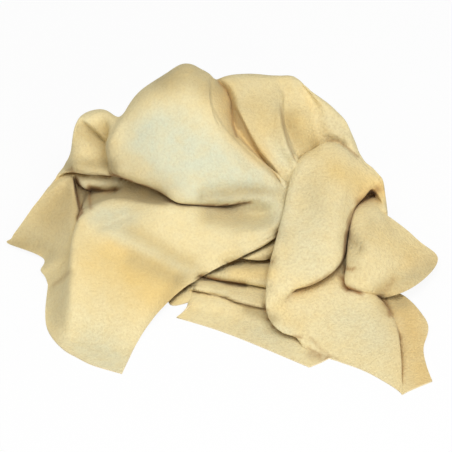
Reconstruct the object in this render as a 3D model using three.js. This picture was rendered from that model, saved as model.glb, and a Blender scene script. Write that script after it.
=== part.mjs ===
// Chamois leather dropped in a heap: one limp skin, every fold in the same sheet. Millimetres, +Z up.
import * as THREE from "three";

// Driving sizes
const HEAP_WIDTH = 343; // left ear to right flap
const HEAP_DEPTH = 350; // front hem to back hem
const HEAP_HEIGHT = 128; // table to the crest of the dome
const SKIN_THICK = 1.2; // oil-tanned split leather, read at the cut edge
const FLOOR_CUT = 0.5; // taken off flat where the folds lie on the table
const VIEW_TILT = 36.87; // degrees above level from which the ribs are drawn
const LAST_STATION = 17; // a rib runs from station 0 at the back hem to this one at the front hem
const SKIN_COLOUR = 0xe6d3a3;

// Sizes at which the ribs are drawn
const DRAWN_WIDTH = 343;
const DRAWN_DEPTH = 350;
const DRAWN_HEIGHT = 128;

const RISE_PER_DEPTH = Math.sin(THREE.MathUtils.degToRad(VIEW_TILT));
const RISE_PER_HEIGHT = Math.cos(THREE.MathUtils.degToRad(VIEW_TILT));

// A rib's point that other folds cover: across, depth behind the front hem, height above the table
function under(station, across, depth, height) {
  const at = new THREE.Vector3(across / DRAWN_WIDTH, depth / DRAWN_DEPTH, height / DRAWN_HEIGHT);
  return { station, at: at.multiply(new THREE.Vector3(HEAP_WIDTH, HEAP_DEPTH, HEAP_HEIGHT)) };
}

// A rib's point by where it is seen: across and rise on the view, and its height above the table
function seen(station, across, rise, height) {
  return under(station, across, (rise - height * RISE_PER_HEIGHT) / RISE_PER_DEPTH, height);
}

// Ribs from the left cut edge to the right one. Each crosses every fold from the back hem, over the
// crest, to the front hem. Stations that a rib leaves out lie on a straight line between its others.

// Left ear and the two bumps above it, with the ear's wavy hem
const EAR = [
  [
    under(0, -106, 306, 0), under(1, -110, 296, 8), under(2, -113, 280, 20), under(3, -117, 264, 32),
    seen(4, -122, 185, 43), seen(5, -125.5, 180, 40), seen(7, -133, 170, 34), seen(9, -141, 159.5, 28),
    seen(11, -151, 147, 21), seen(13, -160, 134, 14), seen(15, -167, 124, 8), seen(17, -171, 118, 4),
  ],
  [
    under(0, -104, 318, 0), under(1, -108, 306, 12), under(2, -112, 284, 40), seen(3, -117.5, 207, 70),
    seen(4, -119.5, 194, 60), seen(5, -120, 183, 52), seen(6, -118.5, 175, 47), under(7, -118, 244, 43),
    under(8, -119, 246, 38), seen(9, -121, 171, 37), seen(10, -126, 162, 30), seen(12, -135, 146, 22),
    seen(14, -143, 131, 14), seen(17, -153, 111.5, 3),
  ],
  [
    under(0, -100, 330, 0), under(1, -103, 318, 14), under(2, -106, 290, 52), seen(3, -113, 219, 80),
    seen(4, -115, 204, 70), seen(5, -112, 188, 59), seen(6, -110, 173.5, 49), under(7, -108, 244, 43),
    under(8, -112, 246, 33), seen(9, -117, 167, 33), seen(10, -118.5, 157, 31), seen(12, -123, 137, 25),
    seen(14, -129, 121, 16), seen(17, -141, 104, 3),
  ],
  [
    under(0, -94, 340, 0), under(1, -95, 330, 0), under(2, -98, 296, 54), seen(3, -105, 221, 81),
    seen(4, -102, 208, 69), seen(5, -96, 194, 58), seen(6, -98, 172.5, 50), under(7, -96, 246, 44),
    under(8, -103, 246, 29), seen(9, -109, 160, 27), seen(10, -113, 147, 26), seen(12, -118, 126, 24),
    seen(14, -124, 109, 17), seen(17, -144.5, 96, 3),
  ],
  [
    under(0, -86, 341, 0), under(1, -88, 326, 14), under(2, -90, 300, 54), seen(3, -93, 223, 84),
    seen(4, -90, 208, 72), seen(5, -90, 193, 59), seen(6, -89, 171.5, 51), under(7, -84, 250, 45),
    under(8, -96, 248, 29), seen(9, -107, 153, 31), seen(10, -112.5, 142, 32),
    seen(11, -116.5, 128, 30), seen(13, -120, 108, 21), seen(15, -126, 94, 10), seen(17, -138, 84, 1),
  ],
];

// Dome, the cave under its edge, and the lap that comes forward to the front-left flap
const DOME = [
  [
    under(0, -78, 342, 0), under(1, -80, 330, 14), under(2, -81, 302, 56), seen(3, -82, 217.5, 84),
    seen(4, -89.5, 203, 80), seen(5, -91.5, 190, 71), seen(6, -80, 170.5, 54), under(7, -70, 250, 46),
    under(8, -84, 248, 30), seen(9, -106, 146, 42), seen(10, -114, 135, 42), seen(11, -118, 122, 39),
    seen(12, -120, 108, 35), seen(13, -120.5, 94, 29), seen(14, -122, 80, 21), seen(15, -126, 67, 12),
    seen(16, -133, 57, 3), seen(17, -139, 50, 0),
  ],
  [
    under(0, -68, 349, 0), under(1, -69, 338, 0), under(2, -71, 306, 66), seen(3, -73, 230, 98),
    seen(4, -76, 210, 91), seen(5, -74, 189, 78), seen(6, -65, 165, 56), under(7, -56, 246, 49),
    under(8, -70, 242, 31), seen(9, -90, 152.5, 45), seen(10, -98, 142, 44), seen(11, -102, 130, 41),
    seen(12, -105, 114, 36), seen(13, -108, 96, 30), seen(14, -110, 77, 22), seen(15, -112, 58, 12),
    seen(16, -113, 41, 0), seen(17, -113, 27, 0),
  ],
  [
    under(0, -56, 353, 0), under(1, -56, 342, 0), under(2, -58, 312, 76), seen(3, -58, 244, 113),
    seen(4, -57, 219, 103), seen(5, -54, 191, 85), seen(6, -49, 158.5, 57), under(7, -43, 234, 51),
    under(8, -56, 229, 33), seen(9, -70, 152, 45), seen(10, -75, 140, 44), seen(11, -79, 128, 40),
    seen(12, -82, 113, 33), seen(13, -87, 94, 27), seen(14, -91, 74, 20), seen(15, -94, 55, 11),
    seen(16, -96, 36, 0), seen(17, -97, 20, 0),
  ],
  [
    under(0, -43, 353, 0), under(1, -43, 341, 0), under(2, -43, 310, 80), seen(3, -43, 254, 123),
    seen(4, -42, 225, 110), seen(5, -39, 189, 85), seen(6, -36, 150.5, 54), under(7, -32, 216, 50),
    under(8, -41, 213, 35), seen(9, -50, 149, 50), seen(10, -54, 138, 47), seen(11, -57, 126, 41),
    seen(12, -60, 110, 32), seen(13, -65, 92, 25), seen(14, -70, 72, 18), seen(15, -74, 53, 10),
    seen(16, -77, 31, 0), seen(17, -79, 15, 0),
  ],
  [
    under(0, -32, 346, 0), under(1, -31, 332, 18), under(2, -30, 300, 84), seen(3, -30, 260, 128),
    seen(4, -28, 228, 114), seen(5, -25, 190, 87), seen(6, -22, 149.5, 52), under(7, -21, 207, 48),
    under(8, -25, 205, 37), seen(9, -28, 147, 49), seen(10, -31, 137, 46), seen(11, -34, 126, 41),
    seen(12, -37, 113, 34), seen(13, -41, 101, 28), seen(14, -46, 88, 22), seen(15, -51, 76, 16),
    seen(16, -56, 63, 9), seen(17, -60, 52, 3),
  ],
  [
    under(0, -20, 340, 0), under(1, -19, 324, 18), under(2, -18, 292, 82), seen(3, -19, 257, 124),
    seen(4, -16, 225, 112), seen(5, -8, 187, 86), seen(6, -3, 148.5, 50), under(7, -2, 200, 46),
    under(8, -3, 199, 39), seen(9, -4, 145, 47.5), seen(10, -5, 136, 45), seen(11, -7, 127, 41),
    seen(12, -10, 118, 36), seen(13, -14, 110, 32), seen(15, -22, 96, 23), seen(17, -30, 83, 15),
  ],
  [
    under(0, -12, 336, 0), under(1, -11, 318, 18), under(2, -10, 290, 78), seen(3, -11, 253, 120),
    seen(4, -9, 224, 110), seen(5, 7, 190, 88), seen(6, 22, 162, 66), seen(7, 28, 153, 58),
    seen(8, 30, 147, 52), seen(9, 30, 141, 48), seen(10, 29, 134, 45), seen(11, 27, 128, 42.5),
    seen(12, 24, 122, 40), seen(13, 21, 117, 37), seen(15, 15, 110.5, 32.5), seen(17, 8, 104.5, 28),
  ],
  [
    under(0, -6, 335, 0), under(1, -6, 317, 16), under(2, -6, 292, 74), seen(3, -8, 250, 116),
    seen(4, -10, 233, 111), seen(5, 0, 211, 99), seen(6, 20, 191, 82), seen(7, 38, 175, 69),
    seen(8, 50.5, 163, 58), seen(9, 52, 153, 51), seen(10, 50.5, 146, 48), seen(11, 49, 141, 46),
    seen(13, 47, 134, 42), seen(15, 46, 129.5, 38.5), seen(17, 45, 127, 35),
  ],
];

// Hollow behind the dome's edge, running under the lap to a small tongue
const HOLLOW = [
  [
    under(0, -3, 336, 0), under(1, -4, 318, 16), under(2, -4, 294, 72), seen(3, -6.5, 249, 113),
    seen(4, -3, 237, 103), seen(5, 4.5, 215, 90), seen(6, 17, 197, 77.5), seen(7, 33, 181, 65.5),
    seen(8, 46, 168, 54), under(9, 50, 197, 44), under(10, 40, 191, 39), under(11, 28, 187, 35),
    under(12, 18, 184, 32.5), under(13, 8, 181, 30), under(14, 0, 177, 28), under(15, -6, 172, 26),
    under(16, -11, 166, 24), under(17, -15, 159, 21),
  ],
  [
    under(0, 0, 337, 0), under(1, -1, 320, 16), under(2, -2, 296, 70), seen(3, -4, 248.5, 110),
    seen(4, 4, 238, 94), seen(5, 8.5, 219, 84), seen(6, 17, 202, 74), seen(7, 30, 186, 63),
    seen(8, 42, 173, 52), under(9, 46, 195, 39), under(10, 26, 184, 31), under(11, 10, 176, 25),
    under(12, -4, 168, 20), under(13, -15, 158, 15), under(14, -23, 148, 11.5), under(15, -30, 138, 8),
    seen(16, -38, 77, 4), seen(17, -43, 71, 2),
  ],
  [
    under(0, 7, 341, 0), under(1, 5, 325, 16), under(2, 4, 300, 70), seen(3, 1, 250.5, 110),
    seen(4, 10, 239, 102), seen(5, 14, 221, 94), seen(6, 24, 202.5, 80), seen(7, 36, 186, 68),
    seen(8, 47, 169.5, 53), under(9, 48, 187, 36), under(10, 22, 167, 27), under(11, 16, 167, 23.5),
    under(12, 6, 159, 19.5), under(13, -10, 147, 14), under(14, -14, 150, 10), under(15, -21, 136, 7),
    seen(16, -24, 79, 5), seen(17, -23, 73, 3),
  ],
];

// Back panel with its ridge, pleated below into the layers that show under the lap
const STACK = [
  [
    under(0, 15, 349, 0), under(1, 14, 337, 0), under(2, 11, 304, 70), seen(3, 9, 252, 109.5),
    seen(4, 19, 238, 102.5), seen(5, 23, 220, 95), seen(6, 31, 203, 83), seen(7, 42, 186, 70),
    seen(8, 51, 169, 54), under(9, 47, 178, 33), under(10, 13, 154, 23), under(11, 8, 165, 18.5),
    under(12, 2, 152, 16.5), seen(13, -14, 91.5, 12.5), under(14, -12, 146, 8.5),
    seen(15, -17, 80, 7.5), seen(16, -26, 67, 0), seen(17, -36, 59, 0),
  ],
  [
    under(0, 25, 353, 0), under(1, 23, 341, 0), under(2, 20, 310, 70), seen(3, 18, 252, 108.5),
    seen(4, 29, 238, 101), seen(5, 33, 220, 94.5), seen(6, 39, 203, 84), seen(7, 48, 187.5, 72),
    seen(8, 55, 172, 58), seen(9, 46, 126, 30), seen(10, 20, 106, 24.5), under(11, 18, 163, 19.5),
    seen(12, 14, 102, 18), seen(13, 10, 87.5, 15), under(14, 12, 142, 9), seen(15, 8, 74, 9),
    seen(16, 4, 60, 0), seen(17, 0, 48, 0),
  ],
  [
    under(0, 35, 353, 0), under(1, 34, 342, 0), under(2, 31, 312, 70), seen(3, 31, 251.5, 108),
    seen(4, 45, 239, 101), seen(5, 46, 221, 95), seen(6, 50.5, 203, 85.5), seen(7, 56, 189, 75),
    seen(8, 60, 180, 67), under(9, 54, 168, 31), seen(10, 42, 107, 25), under(11, 42, 165, 20),
    seen(12, 40, 103, 18.5), seen(13, 38, 83, 16), under(14, 38, 132, 10), seen(15, 38, 67, 9.5),
    seen(16, 38, 50, 0), seen(17, 38, 33, 0),
  ],
  [
    under(0, 46, 351, 0), under(1, 45, 340, 0), under(2, 43, 310, 68), seen(3, 43, 251, 106),
    seen(4, 50, 238, 97), seen(5, 49.5, 219.5, 85), seen(6, 54.5, 202, 74), seen(7, 60.5, 187, 64),
    under(8, 65, 216, 49), under(9, 62, 182, 35), under(10, 60, 158, 27), under(11, 62, 172, 20.5),
    under(12, 60, 148, 17), under(13, 59, 120, 14), under(14, 61, 132, 9), under(15, 62, 98, 5),
    under(16, 66, 60, 0), seen(17, 69, 20, 0),
  ],
  [
    under(0, 56, 344, 0), under(1, 54, 328, 18), under(2, 53, 304, 66), seen(3, 52, 252, 106),
    seen(4, 62, 237, 97), seen(5, 62, 219, 87), seen(6, 66, 203, 77), seen(7, 70, 190.5, 65),
    under(8, 72, 220, 52), under(9, 72, 192, 43), under(10, 73, 170, 35), under(11, 76, 162, 28),
    under(12, 77, 147, 23), under(13, 77, 130, 18), under(14, 78, 114, 12), under(15, 81, 96, 8),
    under(16, 86, 76, 2), under(17, 92, 56, 0),
  ],
];

// Scarf fold round its nose, and the front-right flap below it
const SCARF = [
  [
    under(0, 64, 338, 0), under(1, 63, 318, 18), under(2, 62, 296, 66), seen(3, 58, 250, 103),
    seen(4, 70, 236, 95), seen(5, 73, 219, 84.5), seen(6, 75, 205, 74), under(7, 76, 234, 60),
    under(8, 70, 224, 58), seen(9, 60, 179, 65), seen(10, 52, 155, 56), seen(11, 45, 125, 45),
    seen(12, 39, 100, 34), seen(13, 37.5, 78, 23), seen(14, 40, 60, 13), seen(15, 50, 47.5, 7),
    seen(16, 60, 44, 5), seen(17, 63, 39, 2),
  ],
  [
    under(0, 74, 332, 0), under(1, 72, 312, 18), under(2, 71, 290, 64), seen(3, 66, 243, 100),
    seen(4, 78, 229, 93), seen(5, 82, 214, 83), seen(6, 83, 203, 73), under(7, 82, 233, 60),
    under(8, 77.5, 227, 64), seen(9, 71, 191, 71), seen(10, 66, 160, 62), seen(11, 58, 122, 49),
    seen(12, 50, 92, 36), seen(13, 47, 75, 26), seen(14, 48, 68, 19), seen(15, 56, 59, 13),
    seen(16, 67, 48, 8), seen(17, 84, 27, 0),
  ],
  [
    under(0, 86, 331, 0), under(1, 84, 319, 0), under(2, 80, 286, 60), seen(3, 77, 235, 95),
    seen(4, 86, 221, 88), seen(5, 89.5, 208, 79), seen(6, 90, 200.5, 72.5), under(7, 88, 233, 64),
    under(8, 85.5, 229, 67), seen(9, 81, 197, 74), seen(10, 79, 165, 66), seen(11, 74, 128, 53),
    seen(12, 68, 86, 32), under(13, 72, 118, 26.5), under(14, 74, 112, 24.5), seen(15, 84, 70, 16),
    seen(16, 97, 45, 6), seen(17, 113, 17, 0),
  ],
  [
    under(0, 97, 325, 0), under(1, 94, 313, 0), under(2, 90, 280, 56), seen(3, 87, 228, 90),
    seen(4, 93, 214, 82), seen(5, 95.5, 204, 76), seen(6, 96, 198, 72), under(7, 94, 229, 67),
    under(8, 92, 228, 70), seen(9, 90, 197, 74), seen(10, 88, 167, 67), seen(11, 85, 132, 55),
    seen(12, 89, 99.5, 38), under(13, 94, 134, 31), under(14, 96, 128, 27), seen(15, 112, 72, 16.5),
    seen(16, 132, 42, 12), seen(17, 143, 2, 1),
  ],
];

// Pleat beside the front-right flap, then the right flap to its cut edge
const RIGHT = [
  [
    under(0, 105, 314, 0), under(1, 101, 304, 0), under(2, 98, 274, 52), seen(3, 96, 217, 83),
    seen(4, 97.5, 210, 79), seen(5, 98, 203, 76), seen(6, 98, 198, 73), seen(7, 97.5, 195, 72),
    seen(8, 97, 193, 72.5), seen(9, 96.5, 191, 73), seen(10, 94, 165, 66), seen(11, 92, 138, 56),
    seen(12, 96, 115, 43), under(13, 100, 160, 32), under(14, 102, 160, 18), under(15, 116, 95, 5),
    under(16, 132, 50, 3), seen(17, 145, 2, 0),
  ],
  [
    under(0, 108, 300, 0), under(1, 107, 288, 14), under(2, 104, 266, 46), seen(3, 102, 207, 77),
    seen(4, 102, 203, 75.5), seen(6, 102, 196, 72.5), seen(9, 101, 188, 71), seen(10, 98.5, 164, 64),
    seen(11, 97, 146, 56), seen(12, 99, 127, 46), under(13, 103, 176, 35), under(14, 105, 176, 18),
    under(15, 122, 103, 5), seen(16, 148, 30, 3), seen(17, 166, 9, 0),
  ],
  [
    under(0, 112, 288, 0), under(1, 111, 278, 12), under(2, 109, 258, 40), seen(3, 106, 197, 70),
    seen(6, 106, 191, 68.5), seen(9, 105.5, 184, 67), seen(10, 103.5, 165, 61), seen(11, 102, 153, 55),
    seen(12, 102, 138, 47), under(13, 106, 186, 37), under(14, 108, 186, 18), under(15, 127, 112, 5),
    seen(16, 150, 48, 4), seen(17, 159, 35, 2),
  ],
  [
    under(0, 116, 276, 0), under(1, 115, 266, 12), under(2, 113, 248, 36), seen(3, 109.5, 188, 64),
    seen(6, 110.5, 184, 63.5), seen(9, 111, 179, 62.5), seen(10, 109, 166.5, 58.5),
    seen(11, 107, 157, 54), seen(12, 105, 147, 49), under(13, 109, 194, 39), under(14, 112, 194, 19),
    under(15, 132, 118, 6), seen(16, 150, 66, 6), seen(17, 163, 55, 4),
  ],
  [
    under(0, 119, 262, 0), under(1, 119, 254, 10), under(2, 118, 238, 34), seen(3, 114.5, 181, 60),
    seen(6, 116, 177.5, 59.5), seen(9, 116.5, 174, 58.5), seen(10, 114, 166.5, 56),
    seen(11, 111.5, 160, 53), seen(12, 109, 152, 50), under(13, 112, 201, 41), under(14, 117, 201, 22),
    under(15, 128, 134, 8), under(16, 134, 126, 7), seen(17, 140, 76, 5),
  ],
  [
    under(0, 122, 250, 0), under(1, 122, 243, 10), under(2, 122, 230, 32), seen(3, 120, 177, 58),
    seen(6, 121.5, 174, 57), seen(9, 121.5, 171, 56.5), seen(10, 119.5, 166.5, 54.5),
    seen(11, 117, 162, 52.5), seen(12, 114, 156.5, 50), under(13, 116, 205, 43),
    under(14, 118, 198, 38), seen(15, 102, 98, 26), seen(16, 110, 84, 17), seen(17, 127, 75, 9),
  ],
  [
    under(0, 124, 240, 0), under(1, 124, 234, 10), under(2, 125, 224, 30), seen(3, 125, 171.5, 55),
    seen(9, 126.5, 166, 53), seen(10, 124.5, 165, 52), seen(11, 122.5, 163, 51), seen(12, 120, 161, 49),
    seen(13, 119, 156, 45), seen(14, 114, 147, 44), seen(15, 118, 122, 37), seen(16, 128, 98, 26),
    seen(17, 143, 79, 12),
  ],
  [
    under(0, 124, 230, 0), under(1, 125, 226, 8), under(2, 127, 216, 26), seen(3, 129, 164, 51),
    seen(9, 129.5, 157, 48), seen(13, 127.5, 149, 44), seen(14, 126, 142, 41), seen(15, 139, 122, 32),
    seen(16, 150, 106, 21), seen(17, 161, 90, 10),
  ],
  [
    under(0, 126, 219, 0), under(1, 127, 214, 5), under(2, 129, 207, 14), under(3, 131, 203, 25),
    under(9, 131.5, 193, 33), under(13, 131, 185, 36), seen(14, 131, 140, 37), seen(15, 147, 128.5, 29),
    seen(16, 160, 117, 19), seen(17, 172, 106, 9),
  ],
];

const RIBS = [...EAR, ...DOME, ...HOLLOW, ...STACK, ...SCARF, ...RIGHT];

// All stations of a rib, those left out filled in
function fillRib(rib) {
  const points = [];
  rib.slice(1).forEach((next, i) => {
    const from = rib[i];
    const span = next.station - from.station;
    for (let step = 0; step < span; step += 1) {
      points.push(from.at.clone().lerp(next.at, step / span));
    }
  });
  points.push(rib[rib.length - 1].at.clone());
  return points;
}

// Corner numbers of the square between a rib and the next, a station and the next
function squares(ribCount) {
  const perRib = LAST_STATION + 1;
  const list = [];
  for (let rib = 0; rib < ribCount - 1; rib += 1) {
    for (let station = 0; station < LAST_STATION; station += 1) {
      const corner = rib * perRib + station;
      list.push([corner, corner + 1, corner + perRib + 1, corner + perRib]);
    }
  }
  return list;
}

// Point numbers round the cut edge of the sheet, in the turning sense of its squares
function cutEdge(ribCount) {
  const perRib = LAST_STATION + 1;
  const lastRib = (ribCount - 1) * perRib;
  const loop = [];
  for (let station = 0; station < LAST_STATION; station += 1) {
    loop.push(station);
  }
  for (let rib = 0; rib < ribCount - 1; rib += 1) {
    loop.push(rib * perRib + LAST_STATION);
  }
  for (let station = LAST_STATION; station > 0; station -= 1) {
    loop.push(lastRib + station);
  }
  for (let rib = ribCount - 1; rib > 0; rib -= 1) {
    loop.push(rib * perRib);
  }
  return loop;
}

// Two triangles of a square
function halves([a, b, c, d]) {
  return [a, b, c, a, c, d];
}

// The middle of the sheet as an open surface, with the way each point faces
function middleSheet(points, quads) {
  const sheet = new THREE.BufferGeometry().setFromPoints(points);
  sheet.setIndex(quads.flatMap(halves));
  sheet.computeVertexNormals();
  return sheet;
}

// Both faces of the skin, the cut edge between them, resting flat on the table
function skinSolid(ribs) {
  const points = ribs.flatMap(fillRib);
  const quads = squares(ribs.length);
  const facing = middleSheet(points, quads).getAttribute("normal");
  const half = SKIN_THICK / 2;
  const face = (side) =>
    points.map((point, i) => {
      const normal = new THREE.Vector3().fromBufferAttribute(facing, i);
      const moved = point.clone().addScaledVector(normal, side * half);
      return moved.setZ(Math.max(0, moved.z + half - FLOOR_CUT));
    });
  const count = points.length;
  const upper = quads.flatMap(halves);
  const lower = quads.flatMap((quad) => halves(quad.map((i) => i + count).reverse()));
  const edge = cutEdge(ribs.length);
  const rim = edge.flatMap((from, i) => {
    const to = edge[(i + 1) % edge.length];
    return halves([from, from + count, to + count, to]);
  });
  const solid = new THREE.BufferGeometry().setFromPoints([...face(1), ...face(-1)]);
  solid.setIndex([...upper, ...lower, ...rim]);
  solid.computeVertexNormals();
  return solid;
}

const skin = new THREE.Mesh(
  skinSolid(RIBS),
  new THREE.MeshStandardMaterial({ color: SKIN_COLOUR, roughness: 0.95, metalness: 0 }),
);
skin.name = "chamois_skin";

// Origin under the middle of the heap
const middle = new THREE.Box3().setFromObject(skin).getCenter(new THREE.Vector3());
skin.geometry.translate(-middle.x, -middle.y, 0);

const chamois = new THREE.Group();
chamois.name = "chamois_leather";
chamois.add(skin);

export default chamois;
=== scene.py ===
"""Chamois leather dropped in a heap: one limp cream skin, napped on both faces, with cut edges."""
import math
from collections import namedtuple

import bmesh
import bpy
import numpy as np
from bpy.props import FloatProperty, FloatVectorProperty, IntProperty, PointerProperty
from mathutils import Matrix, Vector, noise
from mathutils.bvhtree import BVHTree
from mathutils.kdtree import KDTree


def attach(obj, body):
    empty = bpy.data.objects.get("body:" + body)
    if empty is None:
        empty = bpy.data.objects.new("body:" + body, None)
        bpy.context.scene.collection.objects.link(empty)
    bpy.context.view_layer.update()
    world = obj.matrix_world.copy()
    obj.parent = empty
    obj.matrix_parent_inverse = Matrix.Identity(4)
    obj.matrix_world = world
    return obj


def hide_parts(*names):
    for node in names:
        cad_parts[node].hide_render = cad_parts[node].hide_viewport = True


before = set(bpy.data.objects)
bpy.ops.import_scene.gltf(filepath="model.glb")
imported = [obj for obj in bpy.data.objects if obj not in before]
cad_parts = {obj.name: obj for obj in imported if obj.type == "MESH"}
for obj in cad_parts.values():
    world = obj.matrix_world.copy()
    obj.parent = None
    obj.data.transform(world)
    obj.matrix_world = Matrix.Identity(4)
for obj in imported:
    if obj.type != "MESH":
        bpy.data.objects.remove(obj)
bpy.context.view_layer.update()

bl_info = {
    "name": "Heaped chamois leather",
    "version": (1, 0, 0),
    "blender": (4, 5, 0),
    "location": "3D View > Sidebar > Chamois",
    "description": "Lays a napped chamois skin in a heap on a plain table and lights it",
    "category": "Mesh",
}

# The imported model's node and body that the skin stands for
SKIN_NODE = "chamois_skin"
SKIN_BODY = "root"

MM = 0.001

# The heap is drawn as it is seen: across and rise on a view tilted down by this angle
VIEW_TILT = math.radians(36.87)
RISE_PER_DEPTH = math.sin(VIEW_TILT)
RISE_PER_HEIGHT = math.cos(VIEW_TILT)
TO_VIEWER = Vector((0, -math.cos(VIEW_TILT), math.sin(VIEW_TILT)))

# Across and depth of the part's origin on the drawing, and how far the skin's middle is lifted
DRAWN_ORIGIN = (0.605, 177.546)
DRAWN_LIFT = 0.1

# A rib runs from station 0 at the back hem to this one at the front hem
LAST_STATION = 17


def under(station, across, depth, height):
    """A rib's point that other folds cover: depth behind the front hem, height above the table, in mm."""
    place = Vector((across - DRAWN_ORIGIN[0], depth - DRAWN_ORIGIN[1], height + DRAWN_LIFT))
    return station, place * MM


def seen(station, across, rise, height):
    """A rib's point by where it is seen on the drawing, and its height above the table, in mm."""
    depth = (rise - height * RISE_PER_HEIGHT) / RISE_PER_DEPTH
    return under(station, across, depth, height)


# Ribs from the left cut edge to the right one. Each crosses every fold from the back hem, over the
# crest, to the front hem. Stations that a rib leaves out lie on a straight line between its others.

# Left ear and the two bumps above it, with the ear's wavy hem
EAR_RIBS = [
    [
        under(0, -106, 306, 0), under(1, -110, 296, 8), under(2, -113, 280, 20),
        under(3, -117, 264, 32), seen(4, -122, 185, 43), seen(5, -125.5, 180, 40),
        seen(7, -133, 170, 34), seen(9, -141, 159.5, 28), seen(11, -151, 147, 21),
        seen(13, -160, 134, 14), seen(15, -167, 124, 8), seen(17, -171, 118, 4),
    ],
    [
        under(0, -104, 318, 0), under(1, -108, 306, 12), under(2, -112, 284, 40),
        seen(3, -117.5, 207, 70), seen(4, -119.5, 194, 60), seen(5, -120, 183, 52),
        seen(6, -118.5, 175, 47), under(7, -118, 244, 43), under(8, -119, 246, 38),
        seen(9, -121, 171, 37), seen(10, -126, 162, 30), seen(12, -135, 146, 22),
        seen(14, -143, 131, 14), seen(17, -153, 111.5, 3),
    ],
    [
        under(0, -100, 330, 0), under(1, -103, 318, 14), under(2, -106, 290, 52),
        seen(3, -113, 219, 80), seen(4, -115, 204, 70), seen(5, -112, 188, 59),
        seen(6, -110, 173.5, 49), under(7, -108, 244, 43), seen(8, -112, 167, 42.4),
        seen(9, -117, 167, 33), seen(10, -118.5, 157, 31), seen(12, -123, 137, 25),
        seen(14, -129, 121, 16), seen(17, -141, 104, 3),
    ],
    [
        under(0, -94, 340, 0), under(1, -95, 330, 0), under(2, -98, 296, 54), seen(3, -105, 221, 81),
        seen(4, -102, 208, 69), seen(5, -96, 194, 58), seen(6, -98, 172.5, 50), under(7, -96, 246, 44),
        seen(8, -103, 162.8, 40.2), seen(9, -109, 160, 27), seen(10, -113, 147, 26),
        seen(12, -118, 126, 24), seen(14, -124, 109, 17), seen(17, -144.5, 96, 3),
    ],
    [
        under(0, -86, 341, 0), under(1, -88, 326, 14), under(2, -90, 300, 49), seen(3, -93, 223, 84),
        seen(4, -90, 208, 72), seen(5, -90, 193, 59), seen(6, -89, 171.5, 51), under(7, -84, 250, 45),
        seen(8, -93, 161.6, 40.4), seen(9, -107, 153, 31), seen(10, -112.5, 142, 32),
        seen(11, -116.5, 128, 30), seen(13, -120, 108, 21), seen(15, -126, 94, 10),
        seen(17, -138, 84, 1),
    ],
]

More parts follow.
